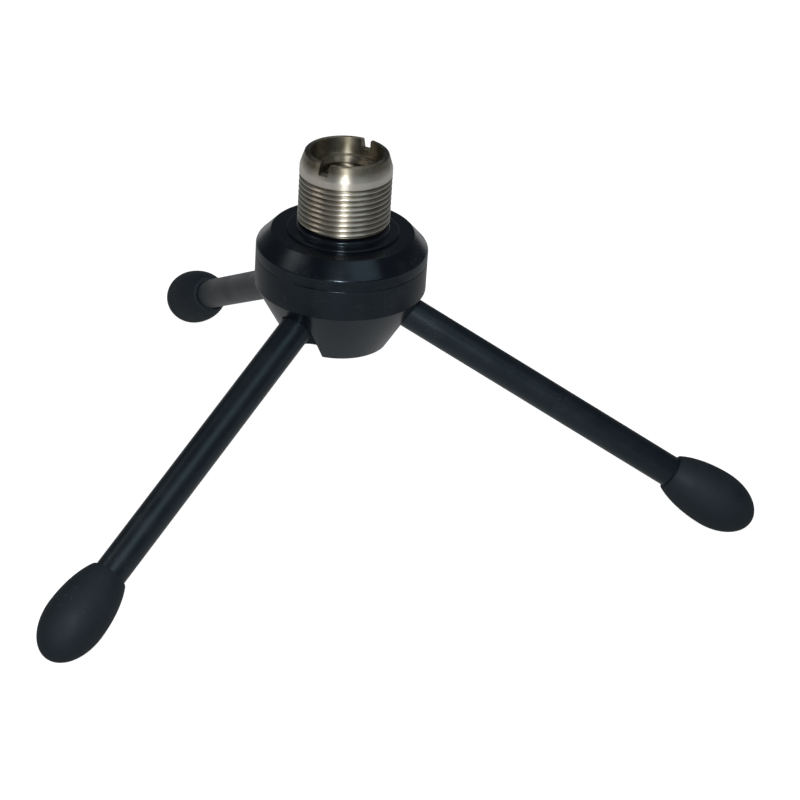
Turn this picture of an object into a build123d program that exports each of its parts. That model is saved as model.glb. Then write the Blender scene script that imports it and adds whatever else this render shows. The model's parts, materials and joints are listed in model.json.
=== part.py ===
from build123d import *
import math
import os

# Desktop microphone stand: a small turned hub on three folding rod legs, with a
# slotted thread adapter on top. Millimetres, +Z up. The origin is on the hub's
# axis at the seat of the thread adapter, and leg a points along +X.

# ---- thread adapter: 5/8 inch - 27 outside, 3/8 inch - 16 inside ----
adapter_thread_d = 15.875
adapter_thread_len = 10.2
adapter_bevel_h = 2.5
adapter_rim_d = 14.3
adapter_rim_round = 0.4
counterbore_d = 12.4
counterbore_depth = 2.85
coin_slot_w = 1.8
coin_slot_depth = 1.9
coin_slot_turn = 65.0

# ---- centre stud: 3/8 inch - 16, drawn at its mean thread diameter ----
stud_mean_d = 8.39
stud_reach = 7.0
stud_chamfer = 0.6
thread_clearance = 0.05

# ---- neck: round lock nut on the hub and washer under the adapter ----
adapter_washer_t = 0.5
adapter_washer_d = 13.8
neck_nut_d = 16.0
neck_nut_h = 1.3
neck_flange_d = 19.2
neck_flange_h = 0.5
neck_round = 0.2

# ---- hub ----
hub_d = 29.6
hub_flat_d = 24.5
cap_bevel_h = 2.73
cap_band_h = 1.92
body_band_h = 5.3
cone_h = 10.4
hub_bottom_d = 17.6
pocket_d = 22.0
cap_spigot_h = 1.75
spigot_clearance = 0.05
edge_round = 0.2

# ---- legs ----
leg_count = 3
leg_d = 5.56
leg_slope = 28.9
pivot_radius = 8.3
pivot_depth_in_hub = 12.19
leg_side_clearance = 0.22
leg_reach = 59.5
leg_end_chamfer = 0.4
pin_d = 2.0
pin_bearing = 2.2
pin_running_clearance = 0.04
pin_end_clearance = 0.2

# ---- rubber feet ----
foot_d = 10.3
foot_neck_wall = 0.5
foot_back = 9.2
foot_front = 8.0
foot_socket_depth = 11.0
foot_flat_depth = 0.25

# ---- spring-loaded keeper inside the hub ----
keeper_headroom = 0.72
keeper_gap = 0.1
keeper_clearance = 0.15
washer_hole_clearance = 0.5
thrust_washer_t = 0.8
thrust_washer_clearance = 1.2
disc_spring_t = 0.5
disc_spring_clearance = 1.7

# ---- clamp screw, M4 with a hexagon socket ----
screw_mean_d = 3.54
screw_len = 16.0
screw_head_d = 7.0
screw_head_h = 4.0
screw_head_recess = 0.4
hex_socket_af = 3.0
hex_socket_depth = 2.2
screw_hole_clearance = 0.35
head_clearance = 0.2
lock_washer_t = 0.8

# ---- heights that follow, counted from the adapter's seat ----
adapter_top = adapter_thread_len + adapter_bevel_h
adapter_bore_d = stud_mean_d + 2 * thread_clearance
neck_top = -adapter_washer_t
cap_top = neck_top - neck_nut_h
rim_z = cap_top - cap_bevel_h
seam_z = rim_z - cap_band_h
cone_top_z = seam_z - body_band_h
hub_bottom_z = cone_top_z - cone_h
spigot_bottom_z = seam_z - cap_spigot_h
pivot_z = cap_top - pivot_depth_in_hub
keeper_bottom_z = pivot_z + keeper_gap
keeper_top_z = pivot_z + leg_d / 2 + keeper_headroom
thrust_washer_top_z = keeper_top_z + thrust_washer_t

# ---- widths and radii that follow ----
leg_r = leg_d / 2
slot_half_w = leg_r + leg_side_clearance
pin_len = 2 * (slot_half_w + pin_bearing)
pin_groove_r = pin_d / 2 + pin_running_clearance
stud_hole_r = stud_mean_d / 2 + thread_clearance
screw_hole_r = screw_mean_d / 2 + screw_hole_clearance
stud_tap_r = screw_mean_d / 2 + thread_clearance
washer_hole_r = stud_mean_d / 2 + washer_hole_clearance
thrust_washer_r = pocket_d / 2 - thrust_washer_clearance
disc_spring_r = pocket_d / 2 - disc_spring_clearance
head_bore_r = screw_head_d / 2 + head_clearance
head_bore_depth = screw_head_h + lock_washer_t + screw_head_recess
screw_seat_z = hub_bottom_z + screw_head_recess + screw_head_h
screw_tip_z = screw_seat_z + screw_len
foot_mid = leg_reach + foot_back
foot_tip = foot_mid + foot_front
leg_azimuths = [360 / leg_count * number for number in range(leg_count)]
leg_names = ["a", "b", "c"]

# ---- the surface that the feet stand on ----
slope = math.radians(leg_slope)
foot_mid_z = pivot_z - foot_mid * math.sin(slope)
foot_low = math.hypot(foot_front * math.sin(slope), foot_d / 2 * math.cos(slope))
ground_z = foot_mid_z - foot_low + foot_flat_depth

os.makedirs("parts", exist_ok=True)


def turned(outline):
    """Solid of revolution about Z from a closed outline of (radius, height) points."""
    return revolve(Plane.XZ * make_face(Polyline(*outline, close=True)), Axis.Z)


def disc(radius, low, high):
    """Upright cylinder between two heights."""
    return Pos(0, 0, low) * Cylinder(
        radius, high - low, align=(Align.CENTER, Align.CENTER, Align.MIN)
    )


def ring(outer_r, inner_r, low, high):
    """Flat ring between two heights."""
    return disc(outer_r, low, high) - disc(inner_r, low, high)


def rod_along_x(radius, length):
    """Cylinder that starts at the origin and runs along +X."""
    return Rot(0, 90, 0) * Cylinder(
        radius, length, align=(Align.CENTER, Align.CENTER, Align.MIN)
    )


def circles_at(solid, radius, height):
    """The round edges of one radius at one height."""
    edges = solid.edges().filter_by(GeomType.CIRCLE)
    return edges.filter_by(
        lambda e: abs(e.radius - radius) < 1e-3 and abs(e.center().Z - height) < 1e-3
    )


def round_edge(solid, radius, height, size):
    """Round the circular edge of that radius at that height."""
    return fillet(circles_at(solid, radius, height), size)


def at_pivot(shape):
    """Place a shape drawn about its pivot onto leg a's pivot axis, level."""
    return Pos(pivot_radius, 0, pivot_z) * shape


def along_leg(shape):
    """Place a shape drawn along +X from the pivot along leg a at its open slope."""
    return at_pivot(Rot(0, leg_slope, 0) * shape)


def on_each_leg(shape):
    """Copies of a shape drawn for leg a, one for each leg."""
    return [Rot(0, 0, azimuth) * shape for azimuth in leg_azimuths]


def thread_adapter():
    """Plated threaded bush with a counterbored mouth and a coin slot."""
    thread_r = adapter_thread_d / 2
    rim_r = adapter_rim_d / 2
    blank = turned(
        [
            (0, 0),
            (thread_r, 0),
            (thread_r, adapter_thread_len),
            (rim_r, adapter_top),
            (0, adapter_top),
        ]
    )
    blank = round_edge(blank, rim_r, adapter_top, adapter_rim_round)
    blank -= disc(adapter_bore_d / 2, 0, adapter_top)
    blank -= disc(counterbore_d / 2, adapter_top - counterbore_depth, adapter_top)
    slot = Box(
        adapter_thread_d + 2,
        coin_slot_w,
        coin_slot_depth,
        align=(Align.CENTER, Align.CENTER, Align.MAX),
    )
    return blank - Pos(0, 0, adapter_top) * Rot(0, 0, coin_slot_turn) * slot


def adapter_washer():
    """Thin washer that the adapter is tightened against."""
    return ring(adapter_washer_d / 2, stud_hole_r, -adapter_washer_t, 0)


def neck_nut():
    """Round lock nut with a low flange, tightened down on the cap."""
    nut_r = neck_nut_d / 2
    flange_r = neck_flange_d / 2
    flange_top = cap_top + neck_flange_h
    nut = disc(flange_r, cap_top, flange_top) + disc(nut_r, cap_top, neck_top)
    nut = round_edge(nut, nut_r, neck_top, neck_round)
    nut = round_edge(nut, flange_r, flange_top, neck_round)
    return nut - disc(stud_hole_r, cap_top, neck_top)


def center_stud():
    """Threaded stud through the cap, tapped from below for the clamp screw."""
    stud_r = stud_mean_d / 2
    stud = disc(stud_r, spigot_bottom_z, stud_reach)
    stud = chamfer(circles_at(stud, stud_r, stud_reach), stud_chamfer)
    return stud - disc(stud_tap_r, spigot_bottom_z, screw_tip_z + thread_clearance)


def hub_cap():
    """Bevelled cap whose spigot centres it in the body's pocket."""
    hub_r = hub_d / 2
    flat_r = hub_flat_d / 2
    cap = turned(
        [
            (0, seam_z),
            (hub_r, seam_z),
            (hub_r, rim_z),
            (flat_r, cap_top),
            (0, cap_top),
        ]
    )
    cap = round_edge(cap, hub_r, rim_z, edge_round)
    cap = round_edge(cap, flat_r, cap_top, edge_round)
    cap += disc(pocket_d / 2 - spigot_clearance, spigot_bottom_z, seam_z)
    return cap - disc(stud_hole_r, spigot_bottom_z, cap_top)


def leg_slot_cuts():
    """Cuts for leg a: an arched channel at the open slope, clear down to vertical."""
    reach = hub_d
    drop = reach * math.tan(slope)
    below = hub_bottom_z - pivot_z - 1
    sweep = make_face(
        Polyline((0, 0), (reach, -drop), (reach, below), (0, below), close=True)
    )
    sweep = extrude(Plane.XZ * sweep, slot_half_w, both=True)
    arch = Rot(0, leg_slope, 0) * rod_along_x(slot_half_w, reach)
    inner_end = disc(slot_half_w, below, 0)
    return [at_pivot(cut) for cut in (arch, inner_end, sweep)]


def pin_groove():
    """Running groove for leg a's pivot pin, across the slot."""
    length = pin_len + 2 * pin_end_clearance
    return at_pivot(Rot(90, 0, 0) * Cylinder(pin_groove_r, length))


def hub_body():
    """Turned body: a pocket for the keeper, three leg slots and the screw's hole."""
    hub_r = hub_d / 2
    bottom_r = hub_bottom_d / 2
    body = turned(
        [
            (0, hub_bottom_z),
            (bottom_r, hub_bottom_z),
            (hub_r, cone_top_z),
            (hub_r, seam_z),
            (0, seam_z),
        ]
    )
    body = round_edge(body, hub_r, cone_top_z, edge_round)
    body = round_edge(body, bottom_r, hub_bottom_z, edge_round)
    body -= disc(pocket_d / 2, pivot_z, seam_z)
    for cut in leg_slot_cuts():
        for slot in on_each_leg(cut):
            body -= slot
    for groove in on_each_leg(pin_groove()):
        body -= groove
    body -= disc(screw_hole_r, hub_bottom_z, pivot_z)
    return body - disc(head_bore_r, hub_bottom_z, hub_bottom_z + head_bore_depth)


def keeper_plate():
    """Three-lobed plate that holds the pivot pins down in the body's grooves."""
    plate_r = pocket_d / 2 - keeper_clearance
    plate = ring(plate_r, screw_hole_r, keeper_bottom_z, keeper_top_z)
    relief_h = 2 * (keeper_top_z - pivot_z)
    relief = Box(
        hub_d,
        2 * slot_half_w,
        relief_h,
        align=(Align.MIN, Align.CENTER, Align.MIN),
    )
    for cut in (Cylinder(slot_half_w, 2 * relief_h), relief):
        for copy in on_each_leg(at_pivot(cut)):
            plate -= copy
    for groove in on_each_leg(pin_groove()):
        plate -= groove
    return plate


def thrust_washer():
    """Flat washer between the keeper and its spring."""
    return ring(thrust_washer_r, washer_hole_r, keeper_top_z, thrust_washer_top_z)


def disc_spring():
    """Coned spring washer that presses the keeper on the pivot pins."""
    return turned(
        [
            (disc_spring_r, thrust_washer_top_z),
            (disc_spring_r, thrust_washer_top_z + disc_spring_t),
            (washer_hole_r, spigot_bottom_z),
            (washer_hole_r, spigot_bottom_z - disc_spring_t),
        ]
    )


def clamp_screw():
    """Socket-head screw that pulls the body up against the cap."""
    head_r = screw_head_d / 2
    head_low = screw_seat_z - screw_head_h
    screw = disc(head_r, head_low, screw_seat_z)
    screw = chamfer(circles_at(screw, head_r, head_low), leg_end_chamfer)
    screw += disc(screw_mean_d / 2, screw_seat_z, screw_tip_z)
    socket = extrude(RegularPolygon(hex_socket_af / math.sqrt(3), 6), hex_socket_depth)
    return screw - Pos(0, 0, head_low) * socket


def lock_washer():
    """Plain ring under the screw's head, split on one side."""
    washer_top = screw_seat_z + lock_washer_t
    washer = ring(screw_head_d / 2, screw_hole_r, screw_seat_z, washer_top)
    split = Pos(screw_head_d / 2, 0, screw_seat_z) * Rot(20, 0, 0)
    return washer - split * Box(screw_head_d, lock_washer_t / 2, 4 * lock_washer_t)


def leg_rod():
    """Straight solid rod with a ball end cross-drilled for the pivot pin."""
    length = leg_reach + foot_socket_depth
    rod = chamfer(
        rod_along_x(leg_r, length).edges().filter_by(GeomType.CIRCLE).sort_by(Axis.X)[-1],
        leg_end_chamfer,
    )
    rod += Sphere(leg_r)
    return along_leg(rod - Rot(90, 0, 0) * Cylinder(pin_d / 2, 2 * leg_d))


def pivot_pin():
    """Straight pin pressed through the leg's ball end."""
    return along_leg(Rot(90, 0, 0) * Cylinder(pin_d / 2, pin_len))


def rubber_foot():
    """Egg-shaped rubber boot over the end of the rod, with a small flat underneath."""
    foot_r = foot_d / 2
    neck_r = leg_r + foot_neck_wall
    back_half = foot_back / math.sqrt(1 - (neck_r / foot_r) ** 2)
    back_sweep = math.degrees(math.asin(foot_back / back_half))
    middle = (foot_mid, 0)
    outline = Line((leg_reach, 0), (leg_reach, neck_r))
    outline += EllipticalCenterArc(middle, back_half, foot_r, 90, arc_size=back_sweep)
    outline += EllipticalCenterArc(middle, foot_front, foot_r, 0, arc_size=90)
    outline += Line((foot_tip, 0), (leg_reach, 0))
    foot = revolve(make_face(outline), Axis.X)
    foot -= Pos(leg_reach, 0, 0) * rod_along_x(leg_r, foot_socket_depth)
    foot = along_leg(foot)
    below = Box(
        2 * foot_tip, hub_d, hub_d, align=(Align.CENTER, Align.CENTER, Align.MAX)
    )
    return foot - Pos(foot_tip, 0, ground_z) * below


hub_pieces = {
    "hub_body": hub_body(),
    "hub_cap": hub_cap(),
    "keeper_plate": keeper_plate(),
    "thrust_washer": thrust_washer(),
    "disc_spring": disc_spring(),
    "center_stud": center_stud(),
    "neck_nut": neck_nut(),
    "clamp_screw": clamp_screw(),
    "lock_washer": lock_washer(),
    "adapter_washer": adapter_washer(),
    "thread_adapter": thread_adapter(),
}

leg_pieces = {
    "leg_rod": leg_rod(),
    "pivot_pin": pivot_pin(),
    "rubber_foot": rubber_foot(),
}

for name, piece in hub_pieces.items():
    export_step(piece, f"parts/{name}.step")

for name, piece in leg_pieces.items():
    for letter, copy in zip(leg_names, on_each_leg(piece)):
        export_step(copy, f"parts/{name}_{letter}.step")

print("seat to top", adapter_top, "seat to ground", round(ground_z, 3))
print("pivot height", round(pivot_z, 3), "foot tip radius", round(
    pivot_radius + foot_tip * math.cos(slope), 3))
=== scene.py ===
import json
import math

import bmesh
import bpy
from mathutils import Matrix, Vector


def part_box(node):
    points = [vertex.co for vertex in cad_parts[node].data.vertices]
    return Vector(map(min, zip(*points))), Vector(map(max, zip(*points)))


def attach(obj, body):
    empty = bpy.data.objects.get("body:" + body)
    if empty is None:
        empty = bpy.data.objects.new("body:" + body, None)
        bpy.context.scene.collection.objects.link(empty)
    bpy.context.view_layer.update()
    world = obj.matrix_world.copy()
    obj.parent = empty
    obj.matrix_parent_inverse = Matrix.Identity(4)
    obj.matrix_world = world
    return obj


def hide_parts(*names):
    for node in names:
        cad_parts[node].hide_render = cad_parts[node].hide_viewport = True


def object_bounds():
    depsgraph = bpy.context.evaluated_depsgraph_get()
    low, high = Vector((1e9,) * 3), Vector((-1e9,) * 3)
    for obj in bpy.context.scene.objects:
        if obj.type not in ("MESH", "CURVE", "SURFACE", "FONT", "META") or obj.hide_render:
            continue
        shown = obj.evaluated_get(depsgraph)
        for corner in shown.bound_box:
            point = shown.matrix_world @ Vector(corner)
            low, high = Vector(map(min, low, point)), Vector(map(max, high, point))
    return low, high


# Desktop microphone stand. Meshes are in metres; the sizes named here are in millimetres.

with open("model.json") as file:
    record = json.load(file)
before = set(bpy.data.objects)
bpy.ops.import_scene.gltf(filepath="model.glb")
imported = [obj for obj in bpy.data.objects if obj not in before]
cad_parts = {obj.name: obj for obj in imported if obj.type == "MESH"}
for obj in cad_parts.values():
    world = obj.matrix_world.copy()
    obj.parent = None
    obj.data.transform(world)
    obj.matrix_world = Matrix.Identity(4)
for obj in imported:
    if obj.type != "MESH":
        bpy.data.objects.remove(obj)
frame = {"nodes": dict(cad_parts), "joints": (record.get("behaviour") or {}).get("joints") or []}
cad_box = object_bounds()

MM = 0.001
FULL_TURN = 2 * math.pi


def box_mm(node):
    """A CAD node's lowest and highest corner in millimetres."""
    low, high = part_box(node)
    return low / MM, high / MM


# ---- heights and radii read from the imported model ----
ground_z = cad_box[0].z / MM
hub_bottom_z = box_mm("hub_body")[0].z
seam_z = box_mm("hub_body")[1].z
hub_r = box_mm("hub_body")[1].x
spigot_bottom_z = box_mm("hub_cap")[0].z
cap_top = box_mm("hub_cap")[1].z
neck_top = box_mm("neck_nut")[1].z
neck_flange_r = box_mm("neck_nut")[1].x
washer_r = box_mm("adapter_washer")[1].x
adapter_r = box_mm("thread_adapter")[1].x
adapter_top = box_mm("thread_adapter")[1].z
stud_bottom = box_mm("center_stud")[0].z
stud_top = box_mm("center_stud")[1].z
stud_plain_r = box_mm("center_stud")[1].x
pin_reach = box_mm("pivot_pin_a")[1].y

# ---- thread adapter ----
adapter_bevel_z = 10.2
adapter_rim_r = 7.15
adapter_rim_round = 0.4
adapter_edge_round = 0.15
adapter_land = 1.1
adapter_foot_chamfer = 0.45
counterbore_r = 6.2
counterbore_depth = 2.85
counterbore_mouth_round = 0.08
counterbore_floor_round = 0.15
coin_slot_w = 1.8
coin_slot_depth = 1.9
coin_slot_turn = 65.0
outside_pitch = 25.4 / 27
outside_depth = 0.5
inside_pitch = 25.4 / 16
inside_depth = 0.77
inside_crest_r = 4.02
lead_in = 0.85
lead_in_h = 0.9 * lead_in
outside_steps = 24
inside_steps = 22

# ---- stud, neck and washer ----
stud_crest_r = 4.72
stud_depth = 0.8
stud_tip_chamfer = 0.75
stud_tap_r = 1.82
stud_tap_top = 2.3
neck_bore_r = 4.78
neck_nut_r = 8.0
neck_flange_top = cap_top + 0.5
neck_round = 0.35
washer_round = 0.1

# ---- hub ----
hub_flat_r = 12.25
cap_bevel_h = 2.73
body_band_h = 5.3
hub_bottom_r = 8.8
pocket_r = 11.0
cap_hole_r = 4.245
spigot_r = 10.95
edge_round = 0.32
rim_round = 0.55
seam_round = 0.14
slot_edge_round = 0.12
slot_half_w = 3.0
head_bore_r = 3.7
head_bore_depth = 5.2
screw_hole_r = 2.12
pin_groove_r = 1.04
pin_groove_slack = 0.2

# ---- legs and feet, measured along the leg from its pivot ----
leg_slope = math.radians(28.9)
leg_r = 2.78
leg_reach = 59.5
leg_end = 70.5
leg_end_round = 0.35
pin_r = 1.0
foot_r = 5.15
foot_neck_wall = 0.5
foot_back = 9.2
foot_front = 8.0
foot_lip_round = 0.22
foot_press = 0.25


# ------------------------------------------------------------------ mesh tools


def corner_arc(before, corner, after, rounding, steps=5):
    """Points of the arc that rounds one corner of an outline."""
    back = (Vector(before) - Vector(corner)).normalized()
    ahead = (Vector(after) - Vector(corner)).normalized()
    half = back.angle(ahead) / 2
    centre = Vector(corner) + (back + ahead).normalized() * rounding / math.sin(half)
    start = Vector(corner) + back * rounding / math.tan(half) - centre
    sweep = math.pi - 2 * half
    if back.x * ahead.y - back.y * ahead.x > 0:
        sweep = -sweep
    turns = [Matrix.Rotation(sweep * step / steps, 2) for step in range(steps + 1)]
    return [tuple(centre + turn @ start) for turn in turns]


def rounded(corners):
    """Outline from (radius, height, rounding) corners; a rounding of 0 stays sharp."""
    points = []
    count = len(corners)
    for number, (radius, height, rounding) in enumerate(corners):
        if rounding == 0:
            points.append((radius, height))
            continue
        before = corners[number - 1][:2]
        after = corners[(number + 1) % count][:2]
        points += corner_arc(before, (radius, height), after, rounding)
    return points


def divided(start, end, spacing):
    """Evenly spaced points from start up to, but without, end."""
    length = math.dist(start, end)
    count = max(1, round(length / spacing))
    return [
        tuple(Vector(start).lerp(Vector(end), step / count)) for step in range(count)
    ]


def arc_points(centre, radii, first, last, steps):
    """Points on an ellipse's arc, with the angles in degrees from the radius axis."""
    points = []
    for step in range(steps + 1):
        angle = math.radians(first + (last - first) * step / steps)
        points.append(
            (
                centre[0] + radii[0] * math.cos(angle),
                centre[1] + radii[1] * math.sin(angle),
            )
        )
    return points


def stitch(shape, lower, upper):
    """Faces between two rings, either of which may be a single point on the axis."""
    count = max(len(lower), len(upper))
    if count == 1:
        return
    for step in range(count):
        after = (step + 1) % count
        corners = [lower[step % len(lower)], lower[after % len(lower)]]
        corners += [upper[after % len(upper)], upper[step % len(upper)]]
        shape.faces.new(list(dict.fromkeys(corners)))


def lathe(outline, segments=180):
    """Closed bmesh turned about Z from a closed outline in millimetres."""
    shape = bmesh.new()
    rings = []
    for radius, height in outline:
        count = 1 if radius < 1e-6 else segments
        ring = []
        for step in range(count):
            angle = FULL_TURN * step / segments
            place = Vector((radius * math.cos(angle), radius * math.sin(angle), height))
            ring.append(shape.verts.new(place * MM))
        rings.append(ring)
    for lower, upper in zip(rings, rings[1:] + rings[:1]):
        stitch(shape, lower, upper)
    bmesh.ops.recalc_face_normals(shape, faces=shape.faces)
    return shape


def as_object(name, shape, material, place=Matrix.Identity(4), sharp=35):
    """Link a bmesh as an object with its place in its mesh, smooth but for sharp edges."""
    shape.transform(place)
    mesh = bpy.data.meshes.new(name)
    shape.to_mesh(mesh)
    shape.free()
    mesh.materials.append(material)
    piece = bpy.data.objects.new(name, mesh)
    bpy.context.scene.collection.objects.link(piece)
    smooth(mesh, sharp)
    return piece


def smooth(mesh, sharp):
    mesh.shade_smooth()
    mesh.set_sharp_from_angle(angle=math.radians(sharp))


def settle(piece, sharp=35):
    """Replace the piece's mesh with its evaluated one and drop the modifiers."""
    bpy.context.view_layer.update()
    evaluated = piece.evaluated_get(bpy.context.evaluated_depsgraph_get())
    mesh = bpy.data.meshes.new_from_object(evaluated)
    piece.modifiers.clear()
    mesh.name = piece.name
    piece.data = mesh
    smooth(mesh, sharp)
    return piece


def cut(piece, cutters, sharp=35, bevel=0):
    """Subtract the cutter solids from a piece, and round its sharp edges a little when a bevel
    width is given.
    """
    tool = as_object(piece.name + "_tool", cutters, piece.data.materials[0])
    change = piece.modifiers.new("cut", "BOOLEAN")
    change.operation = "DIFFERENCE"
    change.solver = "EXACT"
    change.use_self = True
    change.object = tool
    if bevel:
        ease = piece.modifiers.new("ease", "BEVEL")
        ease.width = bevel * MM
        ease.segments = 2
        ease.limit_method = "ANGLE"
        ease.angle_limit = math.radians(38)
    settle(piece, sharp)
    bpy.data.objects.remove(tool)
    return piece


def add_box(shape, low, high, place=Matrix.Identity(4)):
    """Add a closed block between two corners, in millimetres, to a bmesh."""
    size = Vector(high) - Vector(low)
    middle = (Vector(high) + Vector(low)) / 2
    block = place @ Matrix.Translation(middle * MM) @ Matrix.Diagonal((*size * MM, 1))
    bmesh.ops.create_cube(shape, size=1, matrix=block)


def add_rod(shape, radius, low, high, place=Matrix.Identity(4), segments=64):
    """Add a closed cylinder along local Z between two heights, in millimetres."""
    middle = place @ Matrix.Translation((0, 0, (low + high) / 2 * MM))
    bmesh.ops.create_cone(
        shape,
        cap_ends=True,
        segments=segments,
        radius1=radius * MM,
        radius2=radius * MM,
        depth=(high - low) * MM,
        matrix=middle,
    )


def hand_over(piece, body, slot, *nodes):
    """Attach a piece to the body it rides on and hide the nodes it stands for; the finish slot
    is not used.
    """
    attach(piece, body)
    if nodes:
        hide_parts(*nodes)


# -------------------------------------------------------------- node tools


class Tree:
    """Short way to add linked nodes to a node tree."""

    def __init__(self, tree):
        self.tree = tree

    def add(self, kind, inputs=None, **settings):
        node = self.tree.nodes.new(kind)
        for name, value in settings.items():
            setattr(node, name, value)
        for key, value in (inputs or {}).items():
            self.feed(node.inputs[key], value)
        return node

    def feed(self, socket, value):
        if isinstance(value, bpy.types.NodeSocket):
            self.tree.links.new(value, socket)
        else:
            socket.default_value = value

    def math(self, operation, *values, clamp=False):
        node = self.add("ShaderNodeMath", operation=operation, use_clamp=clamp)
        for socket, value in zip(node.inputs, values):
            self.feed(socket, value)
        return node.outputs[0]

    def ramp(self, value, start, end, low=0.0, high=1.0, kind="LINEAR"):
        node = self.add("ShaderNodeMapRange", interpolation_type=kind)
        for key, number in zip((0, 1, 2, 3, 4), (value, start, end, low, high)):
            self.feed(node.inputs[key], number)
        return node.outputs[0]


def socket(tree, name, kind, way="INPUT", value=None):
    """Add a named socket to a node group and return it."""
    made = tree.interface.new_socket(
        name=name, in_out=way, socket_type="NodeSocket" + kind
    )
    if value is not None:
        made.default_value = value
    return made


def object_radius(t, position):
    """Distance of a point from the stand's axis, and its height, as sockets."""
    parts = t.add("ShaderNodeSeparateXYZ", {0: position})
    flat = t.add("ShaderNodeCombineXYZ", {0: parts.outputs[0], 1: parts.outputs[1]})
    length = t.add("ShaderNodeVectorMath", {0: flat.outputs[0]}, operation="LENGTH")
    return length.outputs["Value"], parts.outputs[2]


# ------------------------------------------- geometry nodes: thread cutting


def thread_tool():
    """Geometry node tree that cuts a right-hand V thread into a turned wall."""
    tree = bpy.data.node_groups.new("thread_tool", "GeometryNodeTree")
    socket(tree, "Geometry", "Geometry")
    socket(tree, "Wall Radius", "Float")
    socket(tree, "Depth", "Float")
    socket(tree, "Pitch", "Float")
    socket(tree, "Low", "Float")
    socket(tree, "High", "Float")
    socket(tree, "Run Out", "Float")
    socket(tree, "Facing", "Float", value=1.0)
    socket(tree, "Start", "Float", value=0.0)
    socket(tree, "Crest Flat", "Float", value=0.12)
    socket(tree, "Root Flat", "Float", value=0.2)
    socket(tree, "Material", "Material")
    socket(tree, "Geometry", "Geometry", way="OUTPUT")
    t = Tree(tree)
    given = t.add("NodeGroupInput").outputs
    position = t.add("GeometryNodeInputPosition").outputs[0]
    parts = t.add("ShaderNodeSeparateXYZ", {0: position}).outputs
    radius, height = object_radius(t, position)
    angle = t.math("DIVIDE", t.math("ARCTAN2", parts[1], parts[0]), FULL_TURN)
    climb = t.math("DIVIDE", height, given["Pitch"])
    turns = t.math("ADD", t.math("SUBTRACT", climb, angle), given["Start"])
    phase = t.math("FRACT", turns)
    slope = t.math("ABSOLUTE", t.math("MULTIPLY_ADD", phase, 2.0, -1.0))
    down = t.math("SUBTRACT", 1.0, slope)
    root = t.math("SUBTRACT", 1.0, given["Root Flat"])
    share = t.ramp(down, given["Crest Flat"], root, kind="SMOOTHSTEP")
    low_end = t.math("ADD", given["Low"], given["Run Out"])
    high_end = t.math("SUBTRACT", given["High"], given["Run Out"])
    rising = t.ramp(height, given["Low"], low_end)
    falling = t.ramp(height, high_end, given["High"], 1.0, 0.0)
    ends = t.math("MULTIPLY", rising, falling)
    bite = t.math("MULTIPLY", t.math("MULTIPLY", share, ends), given["Depth"])
    wall = t.math("MULTIPLY", given["Wall Radius"], given["Facing"])
    reach = t.math("SUBTRACT", wall, bite)
    facing_radius = t.math("MULTIPLY", radius, given["Facing"])
    new_radius = t.math(
        "MULTIPLY", t.math("MINIMUM", facing_radius, reach), given["Facing"]
    )
    scale = t.math("DIVIDE", new_radius, t.math("MAXIMUM", radius, 1e-6))
    moved = t.add(
        "ShaderNodeCombineXYZ",
        {
            0: t.math("MULTIPLY", parts[0], scale),
            1: t.math("MULTIPLY", parts[1], scale),
            2: height,
        },
    )
    near = t.math("SUBTRACT", wall, given["Depth"])
    on_wall = t.math("GREATER_THAN", facing_radius, near)
    above = t.math("GREATER_THAN", height, given["Low"])
    below = t.math("LESS_THAN", height, given["High"])
    chosen = t.math("MULTIPLY", on_wall, t.math("MULTIPLY", above, below))
    shifted = t.add(
        "GeometryNodeSetPosition",
        {
            "Geometry": given["Geometry"],
            "Selection": chosen,
            "Position": moved.outputs[0],
        },
    )
    real = t.add("GeometryNodeRealizeInstances", {0: shifted.outputs[0]})
    painted = t.add(
        "GeometryNodeSetMaterial",
        {"Geometry": real.outputs[0], "Material": given["Material"]},
    )
    t.add("NodeGroupOutput", {0: painted.outputs[0]})
    return tree


def cut_thread(piece, tree, **sizes):
    """Run the thread tool on a piece; lengths are in metres, names use underscores."""
    change = piece.modifiers.new("thread", "NODES")
    change.node_group = tree
    sizes["Material"] = piece.data.materials[0]
    wanted = {name.replace("_", " "): value for name, value in sizes.items()}
    for item in tree.interface.items_tree:
        if item.in_out == "INPUT" and item.name in wanted:
            change[item.identifier] = wanted[item.name]


# ------------------------------------------------------- shared finish groups


def group(name, inputs, outputs):
    """New shader node group with float inputs and the given outputs."""
    tree = bpy.data.node_groups.new(name, "ShaderNodeTree")
    for label, value in inputs.items():
        kind = "Color" if isinstance(value, tuple) else "Float"
        socket(tree, label, kind, value=value)
    for label, kind in outputs.items():
        socket(tree, label, kind, way="OUTPUT")
    t = Tree(tree)
    return tree, t, t.add("NodeGroupInput").outputs, t.add("NodeGroupOutput")


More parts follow.
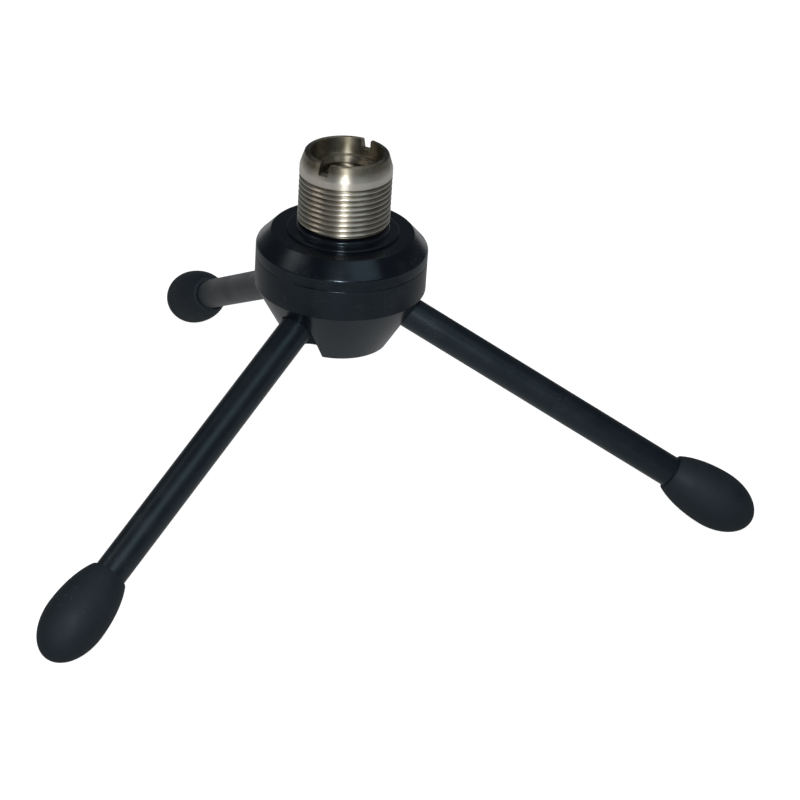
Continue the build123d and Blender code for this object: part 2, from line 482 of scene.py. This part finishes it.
def grain_group():
    """Fine even grain with a slow drift: coating texture and cloudy gloss."""
    tree, t, given, out = group(
        "surface_grain",
        {
            "Grain Size": 0.0002,
            "Cloud Size": 0.006,
            "Smoothest": 0.3,
            "Roughest": 0.4,
        },
        {"Height": "Float", "Roughness": "Float", "Cloud": "Float"},
    )
    where = t.add("ShaderNodeTexCoord").outputs["Object"]
    fine = t.add(
        "ShaderNodeTexNoise",
        {
            "Vector": where,
            "Scale": t.math("DIVIDE", 1.0, given["Grain Size"]),
            "Detail": 2.0,
            "Roughness": 0.55,
        },
    ).outputs[0]
    slow = t.add(
        "ShaderNodeTexNoise",
        {
            "Vector": where,
            "Scale": t.math("DIVIDE", 1.0, given["Cloud Size"]),
            "Detail": 3.0,
        },
    ).outputs[0]
    cloud = t.ramp(slow, 0.35, 0.65)
    blend = t.math("ADD", t.math("MULTIPLY", cloud, 0.7), t.math("MULTIPLY", fine, 0.3))
    t.feed(out.inputs["Height"], fine)
    t.feed(out.inputs["Cloud"], cloud)
    t.feed(
        out.inputs["Roughness"],
        t.ramp(blend, 0.0, 1.0, given["Smoothest"], given["Roughest"]),
    )
    return tree


def turning_group():
    """Fine rings that a lathe tool leaves round the stand's axis."""
    tree, t, given, out = group(
        "turning_marks",
        {"Feed": 0.00006, "Unevenness": 0.5},
        {"Height": "Float", "Streak": "Float"},
    )
    where = t.add("ShaderNodeTexCoord").outputs["Object"]
    radius, height = object_radius(t, where)
    along = t.math("ADD", t.math("MULTIPLY", radius, 1.3), height)
    track = t.add("ShaderNodeCombineXYZ", {0: along})
    rings = t.add(
        "ShaderNodeTexNoise",
        {
            "Vector": track.outputs[0],
            "Scale": t.math("DIVIDE", 1.0, given["Feed"]),
            "Detail": 1.0,
        },
    ).outputs[0]
    wander = t.add(
        "ShaderNodeTexNoise", {"Vector": where, "Scale": 260.0, "Detail": 2.0}
    ).outputs[0]
    fade = t.ramp(wander, 0.35, 0.65, t.math("SUBTRACT", 1.0, given["Unevenness"]), 1.0)
    t.feed(out.inputs["Height"], t.math("MULTIPLY", rings, fade))
    t.feed(out.inputs["Streak"], t.ramp(rings, 0.3, 0.7))
    return tree


def wear_group():
    """Masks for fine dust specks and for thin random scratches."""
    tree, t, given, out = group(
        "dust_and_scratches",
        {"Dust": 0.3, "Scratches": 0.3, "Scratch Length": 0.004},
        {"Dust Mask": "Float", "Scratch Mask": "Float"},
    )
    where = t.add("ShaderNodeTexCoord").outputs["Object"]
    specks = t.add(
        "ShaderNodeTexVoronoi",
        {"Vector": where, "Scale": 1500.0, "Randomness": 1.0},
    )
    spot = t.ramp(specks.outputs["Distance"], 0.05, 0.2, 1.0, 0.0)
    patch = t.add(
        "ShaderNodeTexNoise", {"Vector": where, "Scale": 180.0, "Detail": 2.0}
    ).outputs[0]
    settled = t.math("MULTIPLY", spot, t.ramp(patch, 0.5, 0.7))
    t.feed(out.inputs["Dust Mask"], t.math("MULTIPLY", settled, given["Dust"]))
    bent = t.add(
        "ShaderNodeTexNoise", {"Vector": where, "Scale": 90.0, "Detail": 1.0}
    ).outputs["Color"]
    push = t.add(
        "ShaderNodeVectorMath",
        {0: bent, 1: (0.003, 0.003, 0.003), 2: where},
        operation="MULTIPLY_ADD",
    ).outputs[0]
    total = None
    for tilt in (0.4, 1.9):
        turned = t.add(
            "ShaderNodeMapping", {"Vector": push, "Rotation": (tilt, 0.6 * tilt, tilt)}
        ).outputs[0]
        drawn = t.add(
            "ShaderNodeVectorMath",
            {0: turned, 1: (1.0, 14.0, 14.0)},
            operation="MULTIPLY",
        ).outputs[0]
        lines = t.add(
            "ShaderNodeTexNoise",
            {
                "Vector": drawn,
                "Scale": t.math("DIVIDE", 1.0, given["Scratch Length"]),
                "Detail": 1.0,
            },
        ).outputs[0]
        thin = t.ramp(t.math("ABSOLUTE", t.math("SUBTRACT", lines, 0.5)), 0.0, 0.012, 1.0, 0.0)
        total = thin if total is None else t.math("MAXIMUM", total, thin)
    sparse = t.math("MULTIPLY", total, t.ramp(patch, 0.55, 0.68))
    t.feed(out.inputs["Scratch Mask"], t.math("MULTIPLY", sparse, given["Scratches"]))
    return tree


def thread_root_group():
    """Mask that grows towards the bottom of a thread cut round the stand's axis."""
    tree, t, given, out = group(
        "thread_roots",
        {"Root Radius": 0.0074, "Crest Radius": 0.0079},
        {"Root Mask": "Float", "Crest Mask": "Float"},
    )
    where = t.add("ShaderNodeTexCoord").outputs["Object"]
    radius = object_radius(t, where)[0]
    depth = t.ramp(radius, given["Root Radius"], given["Crest Radius"])
    patch = t.add(
        "ShaderNodeTexNoise", {"Vector": where, "Scale": 500.0, "Detail": 3.0}
    ).outputs[0]
    uneven = t.ramp(patch, 0.3, 0.7, 0.7, 1.0)
    t.feed(
        out.inputs["Root Mask"],
        t.math("MULTIPLY", t.math("SUBTRACT", 1.0, depth), uneven),
    )
    t.feed(out.inputs["Crest Mask"], t.ramp(depth, 0.8, 1.0))
    return tree


grain = grain_group()
turning = turning_group()
wear = wear_group()
thread_roots = thread_root_group()


# ----------------------------------------------------------------- materials


def finish(name, metallic=0.0, ior=1.5, tint=(1, 1, 1, 1)):
    """New material with a Principled shader and its even settings."""
    material = bpy.data.materials.new(name)
    material.use_nodes = True
    material.node_tree.nodes.clear()
    t = Tree(material.node_tree)
    shader = t.add(
        "ShaderNodeBsdfPrincipled",
        {
            "Metallic": metallic,
            "IOR": ior,
            "Specular Tint": tint,
        },
    )
    output = t.add("ShaderNodeOutputMaterial")
    t.feed(output.inputs["Surface"], shader.outputs[0])
    return material, t, shader


def use(t, tree, **values):
    """Place a shared group in a material with its own values."""
    node = t.add("ShaderNodeGroup", node_tree=tree)
    for name, value in values.items():
        t.feed(node.inputs[name.replace("_", " ")], value)
    return node.outputs


def mix(t, share, first, second):
    """Colour between two colours."""
    node = t.add("ShaderNodeMix", data_type="RGBA")
    t.feed(node.inputs[0], share)
    t.feed(node.inputs[6], first)
    t.feed(node.inputs[7], second)
    return node.outputs[2]


def bump(t, shader, height, distance, strength=1.0, under=None):
    """Feed a height map into the shader's normal; distance is in metres."""
    inputs = {"Height": height, "Distance": distance, "Strength": strength}
    if under is not None:
        inputs["Normal"] = under
    node = t.add("ShaderNodeBump", inputs)
    t.feed(shader.inputs["Normal"], node.outputs[0])
    return node.outputs[0]


def turned_black():
    """Glossy black anodised aluminium with faint turning rings."""
    material, t, shader = finish("hub_black_finish", ior=1.42, tint=(0.66, 0.87, 1.0, 1))
    spread_upright(t, shader, 0.5)
    soft = use(
        t, grain, Grain_Size=0.00012, Cloud_Size=0.007, Smoothest=0.2, Roughest=0.3
    )
    lines = use(t, turning, Feed=0.00009, Unevenness=0.6)
    marks = use(t, wear, Dust=0.35, Scratches=0.6, Scratch_Length=0.003)
    base = mix(t, soft["Cloud"], (0.0035, 0.0045, 0.0068, 1), (0.005, 0.0064, 0.0092, 1))
    base = mix(t, marks["Dust Mask"], base, (0.16, 0.17, 0.18, 1))
    base = mix(t, marks["Scratch Mask"], base, (0.07, 0.075, 0.08, 1))
    t.feed(shader.inputs["Base Color"], base)
    rough = t.math("MULTIPLY_ADD", lines["Streak"], 0.05, soft["Roughness"])
    rough = t.math("MULTIPLY_ADD", marks["Scratch Mask"], 0.2, rough)
    t.feed(shader.inputs["Roughness"], rough)
    under = bump(t, shader, lines["Height"], 0.000004)
    bump(t, shader, soft["Height"], 0.000001, under=under)
    return material


def coated_black():
    """Satin black coating of the legs, with a fine even grain."""
    material, t, shader = finish("leg_black_finish", ior=1.46, tint=(0.66, 0.88, 1.0, 1))
    soft = use(
        t, grain, Grain_Size=0.00016, Cloud_Size=0.005, Smoothest=0.32, Roughest=0.44
    )
    marks = use(t, wear, Dust=0.3, Scratches=0.5, Scratch_Length=0.005)
    base = mix(t, soft["Cloud"], (0.005, 0.0073, 0.0105, 1), (0.007, 0.0096, 0.0135, 1))
    base = mix(t, marks["Dust Mask"], base, (0.14, 0.15, 0.16, 1))
    base = mix(t, marks["Scratch Mask"], base, (0.06, 0.065, 0.07, 1))
    t.feed(shader.inputs["Base Color"], base)
    t.feed(shader.inputs["Roughness"], soft["Roughness"])
    bump(t, shader, soft["Height"], 0.000006)
    return material


def moulded_rubber():
    """Matte black rubber with a slight bloom and a soft moulded grain."""
    material, t, shader = finish("foot_rubber_finish", ior=1.45, tint=(0.75, 0.9, 1, 1))
    soft = use(
        t, grain, Grain_Size=0.00022, Cloud_Size=0.004, Smoothest=0.6, Roughest=0.78
    )
    marks = use(t, wear, Dust=0.6, Scratches=0.15, Scratch_Length=0.003)
    base = mix(t, soft["Cloud"], (0.0062, 0.0094, 0.0135, 1), (0.009, 0.013, 0.018, 1))
    base = mix(t, marks["Dust Mask"], base, (0.13, 0.13, 0.13, 1))
    t.feed(shader.inputs["Base Color"], base)
    t.feed(shader.inputs["Roughness"], soft["Roughness"])
    bump(t, shader, soft["Height"], 0.000014)
    return material


def spread_upright(t, shader, amount):
    """Stretch highlights up and down, across the rings that turning leaves."""
    upright = t.add("ShaderNodeCombineXYZ", {2: 1.0})
    t.feed(shader.inputs["Tangent"], upright.outputs[0])
    t.feed(shader.inputs["Anisotropic"], amount)


def bright_plate(name, crest_r, root_r, root_shade_colour, plate_colour):
    """Bright plating on a turned and threaded piece, darker in the thread roots: painted shade
    with some tarnish.
    """
    material, t, shader = finish(name, metallic=1.0)
    spread_upright(t, shader, 0.9)
    soft = use(
        t, grain, Grain_Size=0.0001, Cloud_Size=0.003, Smoothest=0.3, Roughest=0.4
    )
    lines = use(t, turning, Feed=0.00005, Unevenness=0.5)
    roots = use(t, thread_roots, Root_Radius=root_r * MM, Crest_Radius=crest_r * MM)
    marks = use(t, wear, Dust=0.25, Scratches=0.5, Scratch_Length=0.002)
    # Darker colour in the thread roots: painted shade, with some tarnish.
    base = mix(t, roots["Root Mask"], plate_colour, root_shade_colour)
    base = mix(t, marks["Scratch Mask"], base, (0.35, 0.34, 0.32, 1))
    base = mix(t, marks["Dust Mask"], base, (0.3, 0.29, 0.27, 1))
    t.feed(shader.inputs["Base Color"], base)
    rough = t.math("MULTIPLY_ADD", roots["Root Mask"], 0.1, soft["Roughness"])
    rough = t.math("MULTIPLY_ADD", lines["Streak"], 0.05, rough)
    t.feed(shader.inputs["Roughness"], rough)
    under = bump(t, shader, lines["Height"], 0.0000025)
    bump(t, shader, soft["Height"], 0.0000015, under=under)
    return material


def plain_metal(name, light, dark, smoothest, roughest):
    """Bare, sprung or blackened steel of the small inner pieces."""
    material, t, shader = finish(name, metallic=1.0)
    soft = use(
        t,
        grain,
        Grain_Size=0.00012,
        Cloud_Size=0.003,
        Smoothest=smoothest,
        Roughest=roughest,
    )
    lines = use(t, turning, Feed=0.00007, Unevenness=0.4)
    marks = use(t, wear, Dust=0.3, Scratches=0.4, Scratch_Length=0.003)
    base = mix(t, soft["Cloud"], light, dark)
    base = mix(t, marks["Scratch Mask"], base, light)
    t.feed(shader.inputs["Base Color"], base)
    t.feed(shader.inputs["Roughness"], soft["Roughness"])
    under = bump(t, shader, lines["Height"], 0.000002)
    bump(t, shader, soft["Height"], 0.000002, under=under)
    return material


hub_black = turned_black()
leg_black = coated_black()
foot_rubber = moulded_rubber()
nickel = bright_plate(
    "plated_thread_finish",
    adapter_r,
    adapter_r - outside_depth,
    # Thread-root colour: painted shade with some tarnish.
    (0.17, 0.15, 0.1, 1),
    (0.72, 0.69, 0.61, 1),
)
stud_steel = bright_plate(
    "stud_steel_finish",
    stud_crest_r,
    stud_crest_r - stud_depth,
    # Thread-root colour: painted shade with some tarnish.
    (0.12, 0.115, 0.1, 1),
    (0.48, 0.48, 0.47, 1),
)
washer_black = plain_metal(
    "washer_black_finish", (0.03, 0.03, 0.032, 1), (0.02, 0.02, 0.022, 1), 0.35, 0.5
)
cad_finishes = {
    "keeper_plate": plain_metal(
        "plain_steel_finish", (0.5, 0.5, 0.49, 1), (0.36, 0.36, 0.36, 1), 0.25, 0.4
    ),
    "disc_spring": plain_metal(
        "spring_steel_finish", (0.3, 0.29, 0.27, 1), (0.2, 0.19, 0.18, 1), 0.3, 0.42
    ),
    "clamp_screw": plain_metal(
        "black_oxide_finish", (0.05, 0.05, 0.052, 1), (0.03, 0.03, 0.031, 1), 0.3, 0.45
    ),
    "pivot_pin_a": plain_metal(
        "pin_steel_finish", (0.56, 0.56, 0.55, 1), (0.42, 0.42, 0.42, 1), 0.18, 0.3
    ),
}
cad_finishes["thrust_washer"] = cad_finishes["keeper_plate"]
cad_finishes["lock_washer"] = cad_finishes["keeper_plate"]
cad_finishes["pivot_pin_b"] = cad_finishes["pivot_pin_a"]
cad_finishes["pivot_pin_c"] = cad_finishes["pivot_pin_a"]

for node_name, material in cad_finishes.items():
    node_mesh = frame["nodes"][node_name].data
    node_mesh.materials.clear()
    node_mesh.materials.append(material)


# ------------------------------------------------------------- thread adapter

thread = thread_tool()


def thread_adapter():
    """Plated bush, threaded outside and inside, with a counterbore and a coin slot."""
    ledge_z = adapter_top - counterbore_depth
    ring_step = outside_pitch / outside_steps
    bore_step = inside_pitch / inside_steps
    chamfer_in = (adapter_r - adapter_foot_chamfer, 0)
    chamfer_out = (adapter_r, adapter_foot_chamfer)
    wall_top = (adapter_r, adapter_bevel_z - 0.2)
    bevel_foot = (adapter_r, adapter_bevel_z)
    rim_outside = (adapter_rim_r, adapter_top)
    outline = [(inside_crest_r + lead_in, 0)]
    outline += divided(chamfer_in, chamfer_out, ring_step)
    outline += divided(chamfer_out, wall_top, ring_step)
    outline += corner_arc((adapter_r, 0), bevel_foot, rim_outside, adapter_edge_round)
    outline += corner_arc(
        bevel_foot, rim_outside, (counterbore_r, adapter_top), adapter_rim_round
    )
    cup_top = (counterbore_r, adapter_top)
    cup_foot = (counterbore_r, ledge_z)
    outline += corner_arc(rim_outside, cup_top, cup_foot, counterbore_mouth_round)
    ledge_end = (inside_crest_r, ledge_z)
    outline += corner_arc(cup_top, cup_foot, ledge_end, counterbore_floor_round)
    mouth = (inside_crest_r + lead_in, ledge_z)
    throat = (inside_crest_r, ledge_z - lead_in_h)
    outline += divided(mouth, throat, bore_step)
    foot = (inside_crest_r, lead_in_h)
    outline += divided(throat, foot, bore_step)
    outline += divided(foot, (inside_crest_r + lead_in, 0), bore_step)
    piece = as_object("thread_adapter_plated", lathe(outline, 160), nickel)
    cut_thread(
        piece,
        thread,
        Wall_Radius=adapter_r * MM,
        Depth=outside_depth * MM,
        Pitch=outside_pitch * MM,
        Low=-1.0 * MM,
        High=(adapter_bevel_z - adapter_land) * MM,
        Run_Out=0.3 * MM,
        Facing=1.0,
        Start=0.1,
        Crest_Flat=0.04,
        Root_Flat=0.04,
    )
    cut_thread(
        piece,
        thread,
        Wall_Radius=inside_crest_r * MM,
        Depth=inside_depth * MM,
        Pitch=inside_pitch * MM,
        Low=-1.0 * MM,
        High=(ledge_z + 0.05) * MM,
        Run_Out=0.05 * MM,
        Facing=-1.0,
        Start=0.5,
        Crest_Flat=0.16,
        Root_Flat=0.14,
    )
    settle(piece)
    slot_tool = bmesh.new()
    turned = Matrix.Rotation(math.radians(coin_slot_turn), 4, "Z")
    half_w = coin_slot_w / 2
    low = (-adapter_r - 1, -half_w, adapter_top - coin_slot_depth)
    add_box(slot_tool, low, (adapter_r + 1, half_w, adapter_top + 1), turned)
    cut(piece, slot_tool)
    hand_over(piece, "adapter", "plated_thread", "thread_adapter")


def center_stud():
    """Threaded stud that stands up through the neck and carries the adapter."""
    step = inside_pitch / inside_steps
    tip = (stud_crest_r - stud_tip_chamfer, stud_top)
    shoulder = (stud_crest_r, stud_top - stud_tip_chamfer)
    outline = [(stud_tap_r, stud_bottom), (stud_plain_r, stud_bottom)]
    outline += [(stud_plain_r, cap_top)]
    outline += divided((stud_crest_r, cap_top + 0.05), shoulder, step)
    outline += divided(shoulder, tip, step)
    outline += [tip, (0, stud_top), (0, stud_tap_top + 0.8), (stud_tap_r, stud_tap_top)]
    piece = as_object("center_stud_threaded", lathe(outline, 128), stud_steel)
    cut_thread(
        piece,
        thread,
        Wall_Radius=stud_crest_r * MM,
        Depth=stud_depth * MM,
        Pitch=inside_pitch * MM,
        Low=cap_top * MM,
        High=(stud_top + 1) * MM,
        Run_Out=0.02 * MM,
        Facing=1.0,
        Start=0.0,
        Crest_Flat=0.1,
        Root_Flat=0.2,
    )
    settle(piece)
    hand_over(piece, "hub", "stud_steel", "center_stud")


# ----------------------------------------------------------------------- hub


def adapter_washer():
    """Thin dark washer between the neck and the adapter."""
    outline = rounded(
        [
            (neck_bore_r, neck_top, 0),
            (washer_r, neck_top, washer_round),
            (washer_r, 0, washer_round),
            (neck_bore_r, 0, 0),
        ]
    )
    piece = as_object("adapter_washer_black", lathe(outline), washer_black)
    hand_over(piece, "seat_washer", "washer_black", "adapter_washer")


def neck_nut():
    """Low black ring with a flange on the cap's flat top."""
    outline = rounded(
        [
            (neck_bore_r, cap_top, 0),
            (neck_flange_r, cap_top, 0),
            (neck_flange_r, neck_flange_top, 0.2),
            (neck_nut_r, neck_flange_top, 0.1),
            (neck_nut_r, neck_top, neck_round),
            (neck_bore_r, neck_top, 0.1),
        ]
    )
    piece = as_object("neck_nut_black", lathe(outline), hub_black)
    hand_over(piece, "hub", "hub_black", "neck_nut")


def hub_cap():
    """Bevelled cap, eased at its edges, down to the fine seam on the body."""
    rim_z = cap_top - cap_bevel_h
    outline = rounded(
        [
            (cap_hole_r, cap_top, 0),
            (cap_hole_r, spigot_bottom_z, 0),
            (spigot_r, spigot_bottom_z, 0.1),
            (spigot_r, seam_z, 0),
            (hub_r, seam_z, seam_round),
            (hub_r, rim_z, rim_round),
            (hub_flat_r, cap_top, edge_round),
        ]
    )
    piece = as_object("hub_cap_black", lathe(outline, 240), hub_black)
    hand_over(piece, "hub", "hub_black", "hub_cap")


leg_names = ["a", "b", "c"]
pivots = {
    letter: Vector(joint["pos_m"])
    for letter in leg_names
    for joint in frame["joints"]
    if joint["name"] == f"leg_{letter}_fold"
}


def leg_place(letter, slope=0.0):
    """Matrix from a leg's own frame, along +X from its pivot, to the stand."""
    pivot = pivots[letter]
    azimuth = math.atan2(pivot.y, pivot.x)
    return (
        Matrix.Translation(pivot)
        @ Matrix.Rotation(azimuth, 4, "Z")
        @ Matrix.Rotation(slope, 4, "Y")
    )


def slot_cutters():
    """Arched leg channels, open down to vertical, and the pins' grooves."""
    tools = bmesh.new()
    reach = 2 * hub_r
    to_x = Matrix.Rotation(math.pi / 2, 4, "Y")
    to_y = Matrix.Rotation(-math.pi / 2, 4, "X")
    groove = pin_reach + pin_groove_slack
    for letter in leg_names:
        level = leg_place(letter)
        sloped = leg_place(letter, leg_slope)
        add_rod(tools, slot_half_w, 0, reach, sloped @ to_x)
        add_rod(tools, slot_half_w, -reach, 0, level)
        add_rod(tools, pin_groove_r, -groove, groove, level @ to_y, 32)
        drop = reach * math.tan(leg_slope)
        corners = [(0, 0), (reach, -drop), (reach, -reach - drop), (0, -reach - drop)]
        rims = []
        for side in (-slot_half_w, slot_half_w):
            rims.append(
                [
                    tools.verts.new(level @ (Vector((x, side, z)) * MM))
                    for x, z in corners
                ]
            )
        faces = [tools.faces.new(rims[0]), tools.faces.new(list(reversed(rims[1])))]
        for first in range(4):
            after = (first + 1) % 4
            faces.append(
                tools.faces.new(
                    [rims[1][first], rims[1][after], rims[0][after], rims[0][first]]
                )
            )
        bmesh.ops.recalc_face_normals(tools, faces=faces)
    return tools


def hub_body():
    """Turned body with its band, cone, pocket, screw recess and three leg slots."""
    pivot_z = pivots["a"].z / MM
    cone_top_z = seam_z - body_band_h
    head_bore_top = hub_bottom_z + head_bore_depth
    outline = rounded(
        [
            (screw_hole_r, pivot_z, 0),
            (screw_hole_r, head_bore_top, 0),
            (head_bore_r, head_bore_top, 0),
            (head_bore_r, hub_bottom_z, 0.15),
            (hub_bottom_r, hub_bottom_z, edge_round),
            (hub_r, cone_top_z, edge_round),
            (hub_r, seam_z, seam_round),
            (pocket_r, seam_z, 0),
            (pocket_r, pivot_z, 0),
        ]
    )
    piece = as_object("hub_body_black", lathe(outline, 240), hub_black)
    cut(piece, slot_cutters(), bevel=slot_edge_round)
    hand_over(piece, "hub", "hub_black", "hub_body")


# ---------------------------------------------------------------------- legs


def along_x(shape):
    """Turn a lathed shape so that its axis runs along +X."""
    shape.transform(Matrix.Rotation(math.pi / 2, 4, "Y"))
    return shape


def leg_rod(letter):
    """Straight round leg with a ball end, cross-drilled for its pin."""
    outline = arc_points((0, 0), (leg_r, leg_r), -90, 0, 16)
    outline += rounded([(leg_r, 0, 0), (leg_r, leg_end, leg_end_round), (0, leg_end, 0)])[1:]
    outline[0] = (0, -leg_r)
    piece = as_object(
        f"leg_rod_{letter}_black",
        along_x(lathe(outline, 96)),
        leg_black,
        leg_place(letter, leg_slope),
    )
    drill = bmesh.new()
    to_y = Matrix.Rotation(-math.pi / 2, 4, "X")
    add_rod(drill, pin_r, -2 * leg_r, 2 * leg_r, leg_place(letter) @ to_y, 32)
    cut(piece, drill)
    hand_over(piece, f"leg_{letter}", "leg_black", f"leg_rod_{letter}")


def press_flat(shape):
    """Flatten the underside of a foot softly where it stands on the ground."""
    for vert in shape.verts:
        height = vert.co.z / MM - ground_z
        if height < foot_press:
            lifted = max(0.0, height + foot_press) ** 2 / (4 * foot_press)
            vert.co.z = (ground_z + lifted) * MM


def rubber_foot(letter):
    """Egg-shaped rubber boot with a small lip at its neck."""
    neck_r = leg_r + foot_neck_wall
    middle = leg_reach + foot_back
    back_half = foot_back / math.sqrt(1 - (neck_r / foot_r) ** 2)
    back_angle = -math.degrees(math.asin(foot_back / back_half))
    back = arc_points((0, middle), (foot_r, back_half), back_angle, 0, 40)
    front = arc_points((0, middle), (foot_r, foot_front), 0, 90, 44)
    lip = corner_arc((leg_r, leg_reach), back[0], back[3], foot_lip_round)
    outline = [(0, leg_end), (leg_r, leg_end), (leg_r, leg_reach)] + lip + back[3:]
    outline += front[1:-1] + [(0, middle + foot_front)]
    shape = along_x(lathe(outline, 128))
    shape.transform(leg_place(letter, leg_slope))
    press_flat(shape)
    piece = as_object(f"rubber_foot_{letter}_black", shape, foot_rubber)
    hand_over(piece, f"leg_{letter}", "foot_rubber", f"rubber_foot_{letter}")


thread_adapter()
center_stud()
adapter_washer()
neck_nut()
hub_cap()
hub_body()
for leg_letter in leg_names:
    leg_rod(leg_letter)
    rubber_foot(leg_letter)


# ------------------------------------------------------- floor, light, camera

view_turn = math.radians(5.2)
view_down = math.radians(28.41)
view_roll = math.radians(3.48)
view_sideways = math.radians(0.7)
camera_reach = 423.0
camera_height = 195.2
view_lens = 122.6
view_shift_x = 0.046
view_shift_y = -0.0065

# The floor's glow is light painted into the floor: white to the camera, and for reflections
# brighter near the stand and far out than in between.
floor_glow_near = 0.33
floor_glow_middle = 0.15
floor_glow_far = 0.62
floor_glow_seen = 0.97
glow_falls = (0.02, 0.085)
glow_rises = (0.15, 0.3)
sky_glow = 0.085
sky_glow_seen = 0.835


def floor():
    """Pale floor that glows: evenly white to look at, with a dimmer painted glow in reflections
    that changes with distance from the stand; open to a view from below.
    """
    material, t, shader = finish("floor_finish")
    t.feed(shader.inputs["Base Color"], (0.3, 0.3, 0.3, 1))
    t.feed(shader.inputs["Roughness"], 0.9)
    t.feed(shader.inputs["Specular IOR Level"], 0.0)
    t.feed(shader.inputs["Emission Color"], (1, 1, 1, 1))
    where = t.add("ShaderNodeTexCoord").outputs["Object"]
    spread = object_radius(t, where)[0]
    # Painted glow for reflections, set by distance from the stand.
    inner = t.ramp(spread, *glow_falls, floor_glow_near, floor_glow_middle, "SMOOTHSTEP")
    added = floor_glow_far - floor_glow_middle
    outer = t.ramp(spread, *glow_rises, 0.0, added, "SMOOTHSTEP")
    reflected = t.math("ADD", inner, outer)
    seen = t.add("ShaderNodeLightPath").outputs["Is Camera Ray"]
    rest = t.math("SUBTRACT", floor_glow_seen, reflected)
    glow = t.math("MULTIPLY_ADD", seen, rest, reflected)
    t.feed(shader.inputs["Emission Strength"], glow)
    from_below = t.add("ShaderNodeNewGeometry").outputs["Backfacing"]
    t.feed(shader.inputs["Alpha"], t.math("SUBTRACT", 1.0, from_below))
    shape = bmesh.new()
    ground = Matrix.Translation((0, 0, cad_box[0].z))
    bmesh.ops.create_grid(shape, x_segments=1, y_segments=1, size=4, matrix=ground)
    as_object("floor", shape, material)


def soft_light(name, place, size, watts, colour=(1, 1, 1)):
    """Square soft light that faces the hub."""
    lamp = bpy.data.lights.new(name, "AREA")
    lamp.shape = "RECTANGLE"
    lamp.size, lamp.size_y = size
    lamp.energy = watts
    lamp.color = colour
    holder = bpy.data.objects.new(name, lamp)
    holder.location = place
    holder.rotation_mode = "QUATERNION"
    holder.rotation_quaternion = (-Vector(place)).to_track_quat("-Z", "Y")
    holder.visible_camera = False
    bpy.context.scene.collection.objects.link(holder)


def lights():
    """Small front lamp, soft ones round the stand, and a sky that is dim but for the view."""
    soft_light("light_front", (0.03, -0.48, 0.3), (0.05, 0.05), 2.0)
    soft_light("light_high", (0.4, -0.33, 0.85), (0.5, 0.5), 1.0, (0.8, 0.92, 1.0))
    soft_light("light_left", (-0.68, -0.05, 0.73), (0.3, 0.3), 0.8, (1.0, 0.86, 0.76))
    soft_light("light_back", (0.1, 0.5, 0.9), (0.6, 0.4), 1.0)
    world = bpy.data.worlds.new("studio")
    world.use_nodes = True
    t = Tree(world.node_tree)
    background = world.node_tree.nodes["Background"]
    seen = t.add("ShaderNodeLightPath").outputs["Is Camera Ray"]
    t.feed(background.inputs["Color"], mix(t, seen, (0.78, 0.88, 1, 1), (1, 1, 1, 1)))
    added = sky_glow_seen - sky_glow
    t.feed(background.inputs["Strength"], t.math("MULTIPLY_ADD", seen, added, sky_glow))
    bpy.context.scene.world = world


def camera():
    """Long lens that looks down on the stand from the front."""
    data = bpy.data.cameras.new("view")
    data.sensor_width = 36
    data.lens = view_lens
    data.shift_x = view_shift_x
    data.shift_y = view_shift_y
    data.clip_start = 0.01
    data.clip_end = 20
    holder = bpy.data.objects.new("view", data)
    heading = view_sideways - view_turn
    ahead = Vector(
        (
            math.sin(heading) * math.cos(view_down),
            math.cos(heading) * math.cos(view_down),
            -math.sin(view_down),
        )
    )
    level_right = Vector((math.cos(heading), -math.sin(heading), 0))
    level_up = level_right.cross(ahead)
    right = level_right * math.cos(view_roll) + level_up * math.sin(view_roll)
    up = level_up * math.cos(view_roll) - level_right * math.sin(view_roll)
    turn = Matrix((right, up, -ahead)).transposed()
    place = Vector(
        (
            camera_reach * math.sin(view_turn),
            -camera_reach * math.cos(view_turn),
            camera_height,
        )
    )
    holder.matrix_world = Matrix.Translation(place * MM) @ turn.to_4x4()
    bpy.context.scene.collection.objects.link(holder)
    bpy.context.scene.camera = holder
    bpy.context.scene.view_settings.view_transform = "Standard"


floor()
lights()
camera()
